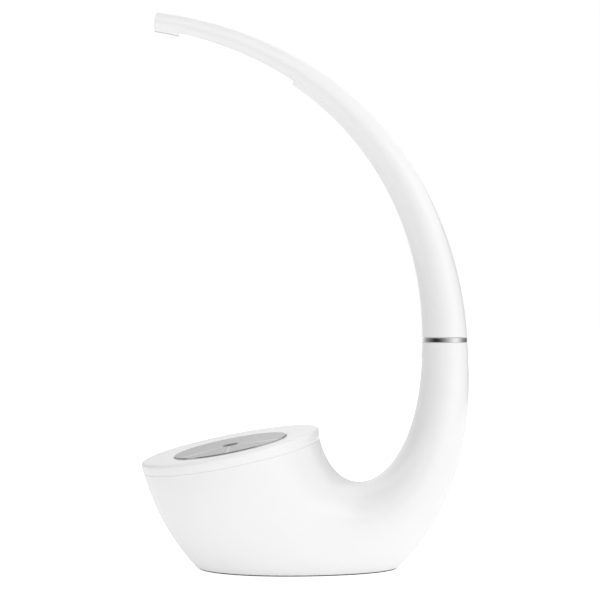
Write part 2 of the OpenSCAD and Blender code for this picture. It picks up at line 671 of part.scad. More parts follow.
module spindle() {
    color([0.7, 0.71, 0.73]) difference() {
        union() {
            at_neck(spindle_bottom) cylinder(r = spindle_r, h = spindle_top - spindle_bottom);
            at_neck(arm_z) cylinder(r = flange_r, h = flange_h);
        }
        at_neck(spindle_bottom - over)
            cylinder(r = spindle_bore / 2, h = spindle_top - spindle_bottom + 2 * over);
        at_neck(neck_z - pin_drop) rotate([0, 90, 0]) cylinder(r = pin_r, h = 2 * spindle_r);
    }
}
module spindle_washer() {
    color([0.6, 0.6, 0.62]) at_neck(neck_z - bush_l - slip - washer_h)
        tube(washer_r, spindle_r + run, washer_h);
}
module spindle_nut() {
    color([0.6, 0.6, 0.62]) at_neck(neck_z - bush_l - slip - washer_h - nut_h) difference() {
        cylinder(r = bush_r - 1, h = nut_h, $fn = 6);
        translate([0, 0, -over]) cylinder(r = spindle_r + press_gap, h = nut_h + 2 * over);
    }
}
module stop_pin() {
    from = spindle_bore / 2 + 0.4;
    color([0.6, 0.6, 0.62]) at_neck(neck_z - pin_drop) rotate([0, 90, 0]) translate([0, 0, from])
        cylinder(r = pin_r - press_gap, h = pin_reach - from);
}
module arm_plug() {
    color([0.5, 0.5, 0.52]) at_neck(arm_z + flange_h) difference() {
        cylinder(r = plug_r, h = plug_h);
        translate([0, 0, -over]) cylinder(r = spindle_r + press_gap, h = plug_h + 2 * over);
    }
}
lead_side = 0.35;                    // the lead runs this share of the radius off the middle
lead_low_t = 0.36;                   // it follows the base's sweep from here
lead_high_t = 0.2;                   // to here
lead_meet = spindle_bottom + 2;      // and meets the arm's lead at this height in the spindle
module neck_lead() {
    n = 16;
    a = [ballast_x + board_l / 2 - plug_l / 2, 0, plug_top];
    end = [neck_x, 0, lead_meet];
    sweep = [for (i = [0:n]) let (s = base_section(lerp(lead_low_t, lead_high_t, i / n)),
        p = s[0] + lead_side * s[2] * s[1]) [p[0], 0, p[1]]];
    to_sweep = concat([a], curve3(a + [0, 0, 1], a + [0, 0, lead_pull], sweep[0] - 5 * (sweep[1] - sweep[0]),
        sweep[0], 10));
    to_spindle = curve3(sweep[n], sweep[n] + 5 * (sweep[n] - sweep[n - 1]), end - [0, 0, lead_pull], end, 8);
    path = concat(to_sweep, [for (i = [1:n]) sweep[i]], [for (i = [1:8]) to_spindle[i]]);
    color([0.1, 0.1, 0.1]) wire(path, lead_r, [0, 1, 0]);
}

// --- arm ------------------------------------------------------------------------
function is_open(t) = t > lens_from + step_t / 2 && t < lens_to + step_t / 2;
function arm_ring(t) = let (s = arm_section(t), end = is_open(t) ? 180 - lens_angle : 180,
    outer = [for (j = [0:arc_n]) arm_skin(s, end * j / arc_n, 0)],
    inner = [for (j = [arc_n:-1:0]) t <= socket_t + step_t / 2 ? seat(s, 180 * j / arc_n, socket_r)
        : arm_skin(s, end * j / arc_n, arm_wall)])
    concat([mid(outer[0], inner[arc_n])], outer, inner);
module arm_shell(side) {
    color([0.95, 0.95, 0.95]) shell_loft([for (t = grid(arm_n, [socket_t, socket_t + step_t,
        lens_from, lens_from + step_t, lens_to, lens_to + step_t])) arm_ring(t)], side);
}
module arm_shell_front() { arm_shell(-1); }
module arm_shell_back() { arm_shell(1); }
strip_n = 26;
lens_rim = 1;                        // angle left free at each side of the opal cover
lens_end = 0.002;                    // share of the curve left free at each end of it
module opal_cover() {
    n = 12;
    a = 180 - lens_angle + lens_rim;
    color([0.98, 0.98, 0.9]) loft([for (i = [0:strip_n])
        let (s = arm_section(lerp(lens_from + lens_end, lens_to - lens_end, i / strip_n)))
        concat([for (j = [0:n]) arm_skin(s, lerp(a, 360 - a, j / n), 0)],
            [for (j = [n:-1:0]) arm_skin(s, lerp(a, 360 - a, j / n), lens_wall)])], 1);
}
strip_from = lens_from + 0.012;
strip_to = lens_to - 0.012;
board_thick = 1;
board_half = 3;
strip_thick = 1.6;
// a flat bar along the arm, from one height above the underside to another
module bar(low, high, half) {
    loft([for (i = [0:strip_n]) let (s = arm_section(lerp(strip_from, strip_to, i / strip_n)),
        a = s[0] + (low - s[2]) * s[1], b = s[0] + (high - s[2]) * s[1],
        w = half > 0 ? half : sqrt(pow(s[2] - arm_wall - fit, 2) - pow(s[2] - low, 2)))
        [[a[0], -w, a[1]], [a[0], w, a[1]], [b[0], w, b[1]], [b[0], -w, b[1]]]], -1);
}
module heat_strip() {
    color([0.75, 0.76, 0.78]) bar(board_up + board_thick, board_up + board_thick + strip_thick, 0);
}
module light_board() { color([0.9, 0.9, 0.88]) bar(board_up, board_up + board_thick, board_half); }
led_w = 2.8;
led_h = 0.7;
module light_diodes() {
    color([1, 0.95, 0.6]) for (i = [0:led_n - 1])
        on_arm(lerp(strip_from, strip_to, (i + 0.5) / led_n), board_up)
            translate([-led_w / 2, -led_w / 2, -led_h - fit]) cube([led_w, led_w, led_h]);
}
cap_edge = 0.8;
cap_spigot = 4;
module tip_cap() {
    s = arm_section(1);
    r = s[2];
    ball = (r * r + tip_bulge * tip_bulge) / (2 * tip_bulge);
    bow = asin(r / ball);
    spigot = r - arm_wall - 2 * fit;
    color([0.95, 0.95, 0.95]) translate([s[0][0], 0, s[0][1]])
        rotate([0, atan2(s[1][0], s[1][1]) - 90, 0]) rotate_extrude() polygon(concat(
            [[0, -cap_spigot], [spigot, -cap_spigot], [spigot, 0], [r, 0]],
            [for (i = [0:6]) let (a = bow * (1 - i / 6))
                [ball * sin(a), cap_edge + ball * cos(a) - ball + tip_bulge]]));
}
arm_lead_from = 0.09;                // share of the arm's curve where the lead leaves the spindle's line
arm_lead_gap = 0.001;                // share left free before the heat strip
module arm_lead() {
    n = 34;
    in_neck = [for (z = [lead_meet + turn_gap, neck_z, spindle_top]) [neck_x, 0, z]];
    in_arm = [for (i = [1:n]) let (s = arm_section(lerp(arm_lead_from, strip_from - arm_lead_gap, i / n)),
        up = lerp(0, board_up + board_thick - s[2], pow(i / n, 2)), p = s[0] + up * s[1]) [p[0], 0, p[1]]];
    color([0.1, 0.1, 0.1]) wire(concat(in_neck, in_arm), lead_r, [0, 1, 0]);
}

base_shell_front();
base_shell_back();
joining_blocks();
bottom_cover();
cover_screws();
foot_pad();
ballast();
ballast_bolts();
driver_board();
driver_parts();
board_screws();
inlet_socket();
inlet_nut();
inlet_lead();
top_ring();
deck_plate();
deck_screws();
dial_board();
dial_board_screws();
encoder_body();
encoder_nut();
press_contact();
dial_lead();
neck_bush();
bright_ring();
neck_lead();
encoder_rotor();
encoder_shaft();
dial_hub();
dial_disc();
dial_cap();
spindle();
spindle_washer();
spindle_nut();
stop_pin();
arm_plug();
arm_shell_front();
arm_shell_back();
heat_strip();
light_board();
light_diodes();
opal_cover();
tip_cap();
arm_lead();
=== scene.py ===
# %% [markdown]
# # A horn-shaped desk lamp
# The lamp is one white horn: a bowl with a tilted metal dial, a flat foot under the sweep, a neck with a
# bright ring, and a slim arm that curves over the bowl and carries an opal light strip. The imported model
# holds the pieces at their real size. This script gives them smooth skins and finishes, and lights them.

import json
import math

import bmesh
import bpy
from mathutils import Matrix, Vector


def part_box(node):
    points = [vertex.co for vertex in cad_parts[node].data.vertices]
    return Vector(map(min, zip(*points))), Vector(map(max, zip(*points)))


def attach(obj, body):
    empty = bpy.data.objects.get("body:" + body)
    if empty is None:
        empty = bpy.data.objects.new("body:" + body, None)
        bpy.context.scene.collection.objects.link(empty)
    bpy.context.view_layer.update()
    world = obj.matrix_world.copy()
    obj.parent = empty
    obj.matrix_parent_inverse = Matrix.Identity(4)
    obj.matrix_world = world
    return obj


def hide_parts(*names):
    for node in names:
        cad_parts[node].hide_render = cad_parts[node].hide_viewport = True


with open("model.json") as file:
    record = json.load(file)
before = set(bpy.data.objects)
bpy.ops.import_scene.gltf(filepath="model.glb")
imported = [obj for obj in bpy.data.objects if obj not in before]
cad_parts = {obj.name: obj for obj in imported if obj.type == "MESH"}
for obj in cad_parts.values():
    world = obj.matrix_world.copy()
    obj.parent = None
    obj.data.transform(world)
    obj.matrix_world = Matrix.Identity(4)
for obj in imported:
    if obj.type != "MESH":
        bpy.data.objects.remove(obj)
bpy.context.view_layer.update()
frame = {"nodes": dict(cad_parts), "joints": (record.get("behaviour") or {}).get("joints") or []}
MM = 0.001
print("pieces in the packed lamp:", len(frame["nodes"]))

# %% [markdown]
# ## Sizes
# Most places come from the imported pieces. The bright ring gives the neck, and the dial's own joint gives the
# middle and the tilt of the bowl's top. A box doesn't show how hard a curve is pulled or how thick a wall is,
# so these sizes are written here once, in metres. The strip's ends are shares of the arm's underside, from
# the neck to the tip, and its half width is an angle round the arm.

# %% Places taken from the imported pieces
ring_low, ring_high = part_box("bright_ring")
NECK_R = (ring_high.x - ring_low.x) / 2
NECK_X = (ring_high.x + ring_low.x) / 2
NECK_Z = ring_low.z
dial_joint = next(j for j in frame["joints"] if j["name"] == "dial_turn")
MOUTH = Vector(dial_joint["pos_m"])
MOUTH_AXIS = Vector(dial_joint["axis"]).normalized()
MOUTH_TILT = math.atan2(-MOUTH_AXIS.x, MOUTH_AXIS.z)
FOOT_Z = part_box("base_shell_front")[0].z
ARM_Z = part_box("arm_shell_front")[0].z
print(f"neck {2000 * NECK_R:.1f} mm across, bowl tilted {math.degrees(MOUTH_TILT):.1f} degrees")

# %% Sizes of the curves
# the horn: its mouth and wall, the pulls of its two edges, and how its width shrinks towards the foot
MOUTH_R, BASE_WALL = 64 * MM, 2.6 * MM
HEEL_DROP, HEEL_PUSH = 199 * MM, 18.8 * MM
BELLY_DROP, BELLY_LEAN = 182 * MM, math.radians(16.6)
SADDLE_DROP = 109.6 * MM
THROAT_DROP, THROAT_LEAN = 59.4 * MM, math.radians(13.8)
FOOT_SHARE, TAPER_POWER = 0.47, 1.7
# the arm: how far it reaches, the pulls of its underside, its slope at the tip, its wall and its widths
ARM_REACH, ARM_RISE = 207.8 * MM, 220.1 * MM
ARM_LOW, ARM_HIGH = 106.3 * MM, 125.9 * MM
TIP_SLOPE = math.radians(9.4)
ARM_WALL, WAIST_D, TIP_D = 1.8 * MM, 20 * MM, 13.6 * MM
# the opal strip: its ends and half its width
LENS_FROM, LENS_TO, LENS_HALF = 0.69, 0.955, math.radians(35)
# the ring on the bowl and the dial, with heights above the horn's mouth
CREST_H, DISH_H = 7.7 * MM, 6.2 * MM
DIAL_T, DIAL_PROUD, DIAL_EDGE = 2.4 * MM, 0.8 * MM, 0.6 * MM
DIAL_TOP = DISH_H + DIAL_PROUD
print(f"arm reaches {1000 * ARM_REACH:.0f} mm to the left and rises {1000 * ARM_RISE:.0f} mm from the neck")

# %% [markdown]
# ## Camera
# The camera comes first. It looks level along +Y from a little under two thirds of a metre, which gives the
# photo's slight view onto the dial. A small upward shift keeps the lamp upright and centred without tilting
# the camera.

# %% Camera
PIXEL = 0.72 * MM
PHOTO_SIDE = 600
MIDDLE_COLUMN, HORIZON_ROW, FOOT_ROW = 298, 325, 566
CAMERA_AWAY = 633.6 * MM


def placed(name, data):
    """A new object in the scene for this camera, light or mesh."""
    made = bpy.data.objects.new(name, data)
    bpy.context.scene.collection.objects.link(made)
    return made


camera = placed("camera", bpy.data.cameras.new("camera"))
eye_x = (PHOTO_SIDE / 2 - MIDDLE_COLUMN) * PIXEL
eye_z = (FOOT_ROW - HORIZON_ROW) * PIXEL + FOOT_Z
camera.location = (eye_x, -CAMERA_AWAY, eye_z)
camera.rotation_euler = (math.pi / 2, 0, 0)
camera.data.sensor_width = 36
camera.data.lens = camera.data.sensor_width * CAMERA_AWAY / (PHOTO_SIDE * PIXEL)
camera.data.shift_y = (HORIZON_ROW - PHOTO_SIDE / 2) / PHOTO_SIDE
camera.data.clip_start = 10 * MM
bpy.context.scene.camera = camera
print(f"lens {camera.data.lens:.1f} mm, shift {camera.data.shift_y:.3f}")

# %% [markdown]
# ## Arithmetic on sockets
# Node trees for shapes and for finishes need the same thing: sums on values that change from point to point.
# A small class wraps one socket, so that a formula is written as Python and becomes Math nodes. Every other
# kind of node is made by its one method, `node`.

# %% A socket that can be calculated with
class Wire:
    """One socket of a node tree, usable in plain arithmetic."""

    def __init__(self, tree, socket=None):
        self.tree = tree
        self.socket = socket

    def node(self, kind, inputs=None, out=0, **settings):
        made = self.tree.nodes.new(kind)
        for name, value in settings.items():
            setattr(made, name, value)
        for key, value in (inputs or {}).items():
            self.feed(made, key, value)
        return Wire(self.tree, made.outputs[out])

    def feed(self, made, key, value):
        if isinstance(key, int):
            socket = made.inputs[key]
        else:
            socket = next(s for s in made.inputs if key in (s.identifier, s.name) and s.enabled)
        if isinstance(value, Wire):
            self.tree.links.new(value.socket, socket)
        else:
            socket.default_value = value

    def maths(self, operation, *values):
        return self.node("ShaderNodeMath", dict(enumerate(values)), operation=operation)

    def __add__(self, other):
        return self.maths("ADD", self, other)

    def __radd__(self, other):
        return self.maths("ADD", other, self)

    def __sub__(self, other):
        return self.maths("SUBTRACT", self, other)

    def __rsub__(self, other):
        return self.maths("SUBTRACT", other, self)

    def __mul__(self, other):
        return self.maths("MULTIPLY", self, other)

    def __rmul__(self, other):
        return self.maths("MULTIPLY", other, self)

    def __truediv__(self, other):
        return self.maths("DIVIDE", self, other)

    def __pow__(self, other):
        return self.maths("POWER", self, other)

    def __gt__(self, other):
        return self.maths("GREATER_THAN", self, other)

    def __lt__(self, other):
        return self.maths("LESS_THAN", self, other)


def sine(wire):
    return wire.maths("SINE", wire)


def cosine(wire):
    return wire.maths("COSINE", wire)


def within(wire, low, high):
    return wire.node("ShaderNodeClamp", {"Value": wire, "Min": low, "Max": high})


def parts(wire):
    """The three numbers of a vector."""
    made = wire.node("ShaderNodeSeparateXYZ", {0: wire})
    return [Wire(wire.tree, socket) for socket in made.socket.node.outputs]


def vector(x, y, z):
    here = next(w for w in (x, y, z) if isinstance(w, Wire))
    return here.node("ShaderNodeCombineXYZ", {"X": x, "Y": y, "Z": z})


# %% [markdown]
# ## Finishes
# A finish is a small function that returns what varies over the surface, such as colour, roughness and the
# height for a bump. What is the same all over is set on the shader's own sockets. All patterns read Object
# coordinates in metres, so their scale is the real one.

# %% Materials from small functions
def finish(name, varies, **constants):
    """A material whose sockets follow varies(here, place) or stay at these constants."""
    made = bpy.data.materials.new(name)
    made.use_nodes = True
    shader = made.node_tree.nodes["Principled BSDF"]
    here = Wire(made.node_tree)
    for title, value in constants.items():
        shader.inputs[title.replace("_", " ")].default_value = value
    place = here.node("ShaderNodeTexCoord", out="Object")
    for title, value in varies(here, place).items():
        here.feed(shader, title, value)
    return made


def clouds(here, place, size, detail=3.0, rough=0.5):
    """Soft noise about 0, from roughly -0.5 to 0.5, in lumps of the given size."""
    noise = here.node("ShaderNodeTexNoise", {"Vector": place, "Scale": 1 / size, "Detail": detail,
                                             "Roughness": rough})
    return noise - 0.5


def tone(here, dark, light, amount):
    """A colour between two others."""
    return here.node("ShaderNodeMix", {"Factor_Float": amount, "A_Color": dark, "B_Color": light},
                     out=2, data_type="RGBA")


def bumped(here, height, depth):
    """Normals for a relief whose height goes from 0 to 1 over this depth."""
    return here.node("ShaderNodeBump", {"Strength": 1.0, "Distance": depth, "Height": height})


def grey(value):
    return (value, value, value, 1)


# %% [markdown]
# White moulded plastic with a satin lacquer covers most of the lamp. It isn't quite even: the tone drifts a
# little, the gloss is patchy where hands touch it, and the surface has the faint orange peel of a lacquer.

# %% White satin plastic
def satin_white(here, place):
    drift = clouds(here, place, 60 * MM)
    touch = clouds(here, place, 14 * MM)
    peel = clouds(here, place, 1.6 * MM, detail=2.0)
    return {
        "Base Color": tone(here, grey(0.885), (0.915, 0.915, 0.913, 1), 0.5 + drift),
        "Roughness": 0.3 + 0.08 * touch,
        "Normal": bumped(here, peel, 0.012 * MM),
    }


LACQUER = {"Coat_Weight": 0.5, "Coat_Roughness": 0.12}
WHITE = finish("white_satin_plastic", satin_white, **LACQUER)
print("made", WHITE.name)

# %% [markdown]
# The dial is turned on a lathe. The tool leaves fine rings round the middle, and such rings spread each light
# into a bright streak that runs from the middle to the edge. A bump gives the rings. The light of this studio
# is too even to give streaks, so three painted highlights in the colour stand in for them: the cosine of the
# angle to a streak's own direction, raised to a high power, is a narrow ray. The chamfer round the face and
# the side are polished.

# %% Turned aluminium round the dial's axis
dial_low, dial_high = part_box("dial_disc")
DIAL_R = (dial_high.y - dial_low.y) / 2
# each streak's way across the disc, to the right and to the back, and how narrow it is
PAINTED_STREAKS = ((-0.8, -0.6, 200), (0.02, -1.0, 2500), (0.87, -0.5, 300))
STREAK_LIGHT, BAND_LIGHT, FACE_LIGHT = 0.65, 0.3, 0.35
RING_STEP, BAND_STEP, FACE_SLACK = 0.16 * MM, 4 * MM, 0.02 * MM


def dot(here, place, way):
    """How far each place lies in this direction."""
    return here.node("ShaderNodeVectorMath", {0: place, 1: way}, out="Value", operation="DOT_PRODUCT")


def ripples(here, distance, size, detail):
    """Noise from 0 to 1 that changes only along one distance."""
    return here.node("ShaderNodeTexNoise", {"W": distance, "Scale": 1 / size, "Detail": detail},
                     noise_dimensions="1D")


def turned_aluminium(here, place):
    from_middle = here.node("ShaderNodeVectorMath", {0: place, 1: MOUTH}, operation="SUBTRACT")
    height = dot(here, from_middle, MOUTH_AXIS)
    reach = here.node("ShaderNodeVectorMath", {0: from_middle}, out="Value", operation="LENGTH")
    radius = (reach * reach - height * height) ** 0.5
    face = (height > DIAL_TOP - FACE_SLACK) * (radius < DIAL_R - DIAL_EDGE)
    ways = [Vector((right * math.cos(MOUTH_TILT), back, right * math.sin(MOUTH_TILT))).normalized()
            for right, back, _ in PAINTED_STREAKS]
    # painted highlights: each streak is a narrow bright ray in the base colour, not a reflection
    streaks = sum(within(dot(here, from_middle, way) / radius, 0, 1) ** narrow
                  for way, (_, _, narrow) in zip(ways, PAINTED_STREAKS))
    rings = ripples(here, radius, RING_STEP, 2.0)
    bands = ripples(here, radius, BAND_STEP, 3.0) - 0.5
    light = face * (FACE_LIGHT + BAND_LIGHT * bands + STREAK_LIGHT * within(streaks, 0, 1))
    return {
        "Base Color": tone(here, grey(0.5), grey(0.8), light),
        "Roughness": 0.1 + face * (0.14 + 0.1 * bands),
        "Normal": bumped(here, rings * face, 0.03 * MM),
    }


DIAL = finish("turned_aluminium", turned_aluminium, Metallic=1.0, Specular_Tint=grey(0.75))
print(f"made {DIAL.name} with {len(PAINTED_STREAKS)} streaks")

# %% [markdown]
# The remaining finishes each take one or two patterns: polished chrome with soft smears, dark moulded
# plastic, soft rubber, cast iron, plated steel, lacquered boards and the opal of the light strip.

# %% Chrome, opal and the dark plastics
def polished_chrome(here, place):
    smear = clouds(here, place, 3 * MM)
    return {
        "Base Color": tone(here, grey(0.82), grey(0.88), 0.5 + smear),
        "Roughness": 0.05 + 0.03 * smear,
    }


def glowing_opal(here, place):
    haze = clouds(here, place, 8 * MM)
    return {
        "Base Color": tone(here, grey(0.92), grey(0.95), 0.5 + haze),
        "Roughness": 0.38 + 0.06 * haze,
        "Emission Color": tone(here, (1.0, 0.97, 0.93, 1), (1.0, 0.99, 0.96, 1), 0.5 + haze),
    }


def moulded(dark, light, grain_size=0.7 * MM, depth=0.02 * MM):
    """Moulded plastic or rubber between two tones, with the fine grain of the mould."""
    def varies(here, place):
        grain = clouds(here, place, grain_size)
        drift = clouds(here, place, 18 * MM)
        return {
            "Base Color": tone(here, dark, light, 0.5 + drift),
            "Roughness": 0.5 + 0.16 * grain,
            "Normal": bumped(here, grain, depth),
        }
    return varies


CHROME = finish("polished_chrome", polished_chrome, Metallic=1.0)
OPAL = finish("opal_diffuser", glowing_opal, Emission_Strength=0.12)
CAP = finish("dark_cap_plastic", moulded(grey(0.1), grey(0.14)))
INNER = finish("grey_inner_moulding", moulded(grey(0.3), grey(0.34)))
COVER = finish("dark_cover_moulding", moulded(grey(0.035), grey(0.05)))
NATURAL = finish("natural_bush_moulding", moulded(grey(0.66), grey(0.72)))
RUBBER = finish("soft_rubber", moulded(grey(0.02), grey(0.035), 0.4 * MM, 0.03 * MM), Specular_IOR_Level=0.3)
BLACK = finish("black_gloss_moulding", moulded(grey(0.015), grey(0.022), 0.5 * MM, 0.005 * MM))

# %% Metals and boards
def metal(dark, light, streak):
    """Metal between two tones, with fine streaks along one direction of space."""
    def varies(here, place):
        stretched = here.node("ShaderNodeVectorMath", {0: place, 1: streak}, operation="MULTIPLY")
        lines = clouds(here, stretched, 1 * MM)
        return {
            "Base Color": tone(here, dark, light, 0.5 + lines),
            "Roughness": 0.32 + 0.14 * lines,
        }
    return varies


def cast_iron(here, place):
    lumps = clouds(here, place, 1.4 * MM, detail=4.0)
    return {
        "Base Color": tone(here, grey(0.05), grey(0.1), 0.5 + lumps),
        "Roughness": 0.66 + 0.2 * lumps,
        "Normal": bumped(here, lumps, 0.15 * MM),
    }


def board(mask, copper):
    """Lacquered board: the mask's colour, lighter where copper tracks run under it."""
    def varies(here, place):
        x, y, z = parts(place)
        track = sine(x * (2 * math.pi / (2.5 * MM))) * sine((y + z) * (2 * math.pi / (4 * MM)))
        return {
            "Base Color": tone(here, mask, copper, within(4 * track - 2, 0, 1)),
            "Roughness": 0.36 + 0.1 * clouds(here, place, 5 * MM),
        }
    return varies


STEEL = finish("plated_steel", metal(grey(0.5), grey(0.6), (1, 1, 8)), Metallic=1.0)
ALUMINIUM = finish("mill_aluminium", metal(grey(0.62), grey(0.72), (1, 8, 1)), Metallic=1.0)
BRASS = finish("turned_brass", metal((0.6, 0.42, 0.16, 1), (0.7, 0.52, 0.22, 1), (1, 1, 6)), Metallic=1.0)
IRON = finish("cast_iron", cast_iron, Metallic=0.4)
GREEN = finish("green_board", board((0.012, 0.075, 0.03, 1), (0.03, 0.13, 0.05, 1)))
PALE = finish("white_board", board(grey(0.74), grey(0.8)))
DIODE = finish("diode_phosphor", moulded((0.85, 0.7, 0.2, 1), (0.9, 0.78, 0.3, 1)))
print("finishes:", len([m for m in bpy.data.materials if m.use_nodes]))

# %% [markdown]
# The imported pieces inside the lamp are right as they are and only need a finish. Each is looked up by its
# name. The outer ones get theirs here too, although smoother pieces take their places further down.

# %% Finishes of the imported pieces
FINISH_OF = {
    # the base
    "base_shell_front": WHITE, "base_shell_back": WHITE, "joining_blocks": INNER, "bottom_cover": COVER,
    "cover_screws": STEEL, "foot_pad": RUBBER, "ballast": IRON, "ballast_bolts": STEEL,
    "driver_board": GREEN, "driver_parts": BLACK, "board_screws": STEEL, "inlet_socket": BLACK,
    "inlet_nut": STEEL, "inlet_lead": BLACK, "top_ring": WHITE, "deck_plate": INNER, "deck_screws": STEEL,
    "dial_board": GREEN, "dial_board_screws": STEEL, "encoder_body": COVER, "encoder_nut": STEEL,
    "dial_lead": BLACK, "neck_bush": NATURAL, "bright_ring": CHROME, "neck_lead": BLACK,
    "press_contact": RUBBER,
    # the dial and what turns with it
    "encoder_rotor": BRASS, "encoder_shaft": STEEL, "dial_hub": INNER, "dial_disc": DIAL, "dial_cap": CAP,
    # the arm
    "spindle": STEEL, "spindle_washer": STEEL, "spindle_nut": STEEL, "stop_pin": STEEL, "arm_plug": INNER,
    "arm_shell_front": WHITE, "arm_shell_back": WHITE, "heat_strip": ALUMINIUM, "light_board": PALE,
    "light_diodes": DIODE, "opal_cover": OPAL, "tip_cap": WHITE, "arm_lead": BLACK,
}
for node, material in FINISH_OF.items():
    worn = frame["nodes"][node].data.materials
    worn.clear()
    worn.append(material)
print("dressed:", len(FINISH_OF), "of", len(frame["nodes"]))

# %% [markdown]
# ## Shapes that follow a rule
# The horn is a fan of round sections between an outer and an inner edge, both Bezier curves. Geometry Nodes
# suit such a rule: a flat grid gives every point a place along the curve and a place round the section, and
# Set Position bends the grid into the skin. The tree has named inputs, so that one tree serves both halves.

# %% Building a tree with named inputs
def shape_tree(name, inputs):
    """A tree with the named inputs, and a wire for each of them."""
    tree = bpy.data.node_groups.new(name, "GeometryNodeTree")
    for title, kind in inputs.items():
        tree.interface.new_socket(title, in_out="INPUT", socket_type="NodeSocket" + kind)
    tree.interface.new_socket("Geometry", in_out="OUTPUT", socket_type="NodeSocketGeometry")
    start = tree.nodes.new("NodeGroupInput")
    return tree, {title: Wire(tree, start.outputs[title]) for title in inputs}


def bent_grid(here, given, where, gone=None):
    """A grid moved to where(share along, share round), with a finish, as the tree's result.

    Faces at which gone(share along, share round) is 1 are deleted first.
    """
    grid = here.node("GeometryNodeMeshGrid", {"Size X": 1.0, "Size Y": 1.0, "Vertices X": given["Along"],
                                              "Vertices Y": given["Round"]})
    x, y, _ = parts(here.node("GeometryNodeInputPosition"))
    if gone is not None:
        grid = here.node("GeometryNodeDeleteGeometry",
                         {"Geometry": grid, "Selection": gone(x + 0.5, y + 0.5)}, domain="FACE")
    moved = here.node("GeometryNodeSetPosition", {"Geometry": grid, "Position": where(x + 0.5, y + 0.5)})
    real = here.node("GeometryNodeRealizeInstances", {"Geometry": moved})
    done = here.node("GeometryNodeSetMaterial", {"Geometry": real, "Material": given["Finish"]})
    end = here.tree.nodes.new("NodeGroupOutput")
    here.tree.links.new(done.socket, end.inputs[0])


def grown(name, tree, values):
    """The mesh that the tree makes from these values."""
    holder = placed(name, bpy.data.meshes.new(name))
    modifier = holder.modifiers.new("shape", "NODES")
    modifier.node_group = tree
    for item in tree.interface.items_tree:
        if item.in_out == "INPUT":
            modifier[item.identifier] = values[item.name]
    bpy.context.view_layer.update()
    evaluated = holder.evaluated_get(bpy.context.evaluated_depsgraph_get())
    mesh = bpy.data.meshes.new_from_object(evaluated)
    bpy.data.objects.remove(holder)
    mesh.name = name
    return mesh


# %% [markdown]
# Each edge is one Bezier curve with four points. Its formula is written once, and works on plain numbers as
# well as on wires, so the script can also ask it where the strip ends.

# %% Curves as formulas
def bezier(points, share):
    """One coordinate of a Bezier curve with four points."""
    rest = 1 - share
    a, b, c, d = points
    return rest ** 3 * a + 3 * rest ** 2 * share * b + 3 * rest * share ** 2 * c + share ** 3 * d


def bezier_slope(points, share):
    """How fast that coordinate changes along the curve, up to a factor."""
    rest = 1 - share
    a, b, c, d = points
    return rest ** 2 * (b - a) + 2 * rest * share * (c - b) + share ** 2 * (d - c)


EDGES = {f"{edge} {i}": "Vector" for edge in ("Outer", "Inner") for i in range(4)}
GRID = {"Along": "Int", "Round": "Int", "Side": "Float", "Finish": "Material"}

# %% [markdown]
# A section of the horn is a half circle for each half of the shell, from the outer edge round to the inner
# one. Towards the foot the sections get narrower from front to back, which makes the sole slim.

# %% The horn's skin
horn_tree, horn = shape_tree("horn_skin", {**GRID, **EDGES, "Foot share": "Float", "Foot height": "Float",
                                           "Taper height": "Float", "Taper power": "Float"})
outer = [parts(horn[f"Outer {i}"]) for i in range(4)]
inner = [parts(horn[f"Inner {i}"]) for i in range(4)]


def horn_place(along, around):
    turn = around * math.pi
    out_x, out_z = (bezier([p[k] for p in outer], along) for k in (0, 2))
    in_x, in_z = (bezier([p[k] for p in inner], along) for k in (0, 2))
    half_x, half_z = (out_x - in_x) / 2, (out_z - in_z) / 2
    half = (half_x * half_x + half_z * half_z) ** 0.5
    x = in_x + half_x * (1 + cosine(turn))
    z = in_z + half_z * (1 + cosine(turn))
    rise = within((z - horn["Foot height"]) / horn["Taper height"], 0, 1)
    width = 1 - (1 - horn["Foot share"]) * (1 - rise) ** horn["Taper power"]
    return vector(x, horn["Side"] * half * width * sine(turn), z)


bent_grid(Wire(horn_tree), horn, horn_place)
print("nodes in the horn's tree:", len(horn_tree.nodes))

# %% [markdown]
# The grid has no thickness. The real half is a moulding with a wall, cut flat at the foot and meeting its
# other half in the middle plane. So the skin gets its wall inwards, then the foot's plane cuts it, and a
# small bevel breaks every edge, which draws the fine joint lines.

# %% From a skin to a moulding
WELD, SNAP, SHARP = 0.001 * MM, 0.12 * MM, math.radians(35)


def moulding(name, mesh, wall, foot=None, edge=0.25 * MM):
    """A closed moulding: the mesh with a wall inwards, cut flat at the foot, with broken edges."""
    work = bmesh.new()
    work.from_mesh(mesh)
    bmesh.ops.remove_doubles(work, verts=work.verts, dist=WELD)
    bmesh.ops.recalc_face_normals(work, faces=work.faces)
    outward(work)
    bmesh.ops.solidify(work, geom=work.faces[:], thickness=wall)
    for vert in work.verts:
        if abs(vert.co.y) < SNAP:
            vert.co.y = 0
    if foot is not None:
        everything = work.verts[:] + work.edges[:] + work.faces[:]
        cut = bmesh.ops.bisect_plane(work, geom=everything, dist=WELD / 10, plane_co=(0, 0, foot),
                                     plane_no=(0, 0, -1), clear_outer=True)
        rim = [g for g in cut["geom_cut"] if isinstance(g, bmesh.types.BMEdge)]
        bmesh.ops.triangle_fill(work, edges=rim, use_beauty=True, normal=(0, 0, -1))
    bmesh.ops.recalc_face_normals(work, faces=work.faces)
    work.to_mesh(mesh)
    work.free()
    return finished(name, mesh, edge)


def outward(work):
    """Turns an open skin so that its faces look away from its own middle plane."""
    side = sum(f.normal.y * f.calc_center_median().y for f in work.faces)
    if side < 0:
        bmesh.ops.reverse_faces(work, faces=work.faces)


def finished(name, mesh, edge):
    """The mesh as a smooth piece, with a bevel of this size on its edges or, with none, sharp edges."""
    piece = placed(name, mesh)
    for polygon in mesh.polygons:
        polygon.use_smooth = True
    if edge:
        bevel = piece.modifiers.new("broken_edge", "BEVEL")
        bevel.width = edge
        bevel.segments = 2
        bevel.limit_method = "ANGLE"
        bevel.angle_limit = SHARP
        bevel.harden_normals = True
    else:
        mesh.set_sharp_from_angle(angle=SHARP)
    return piece


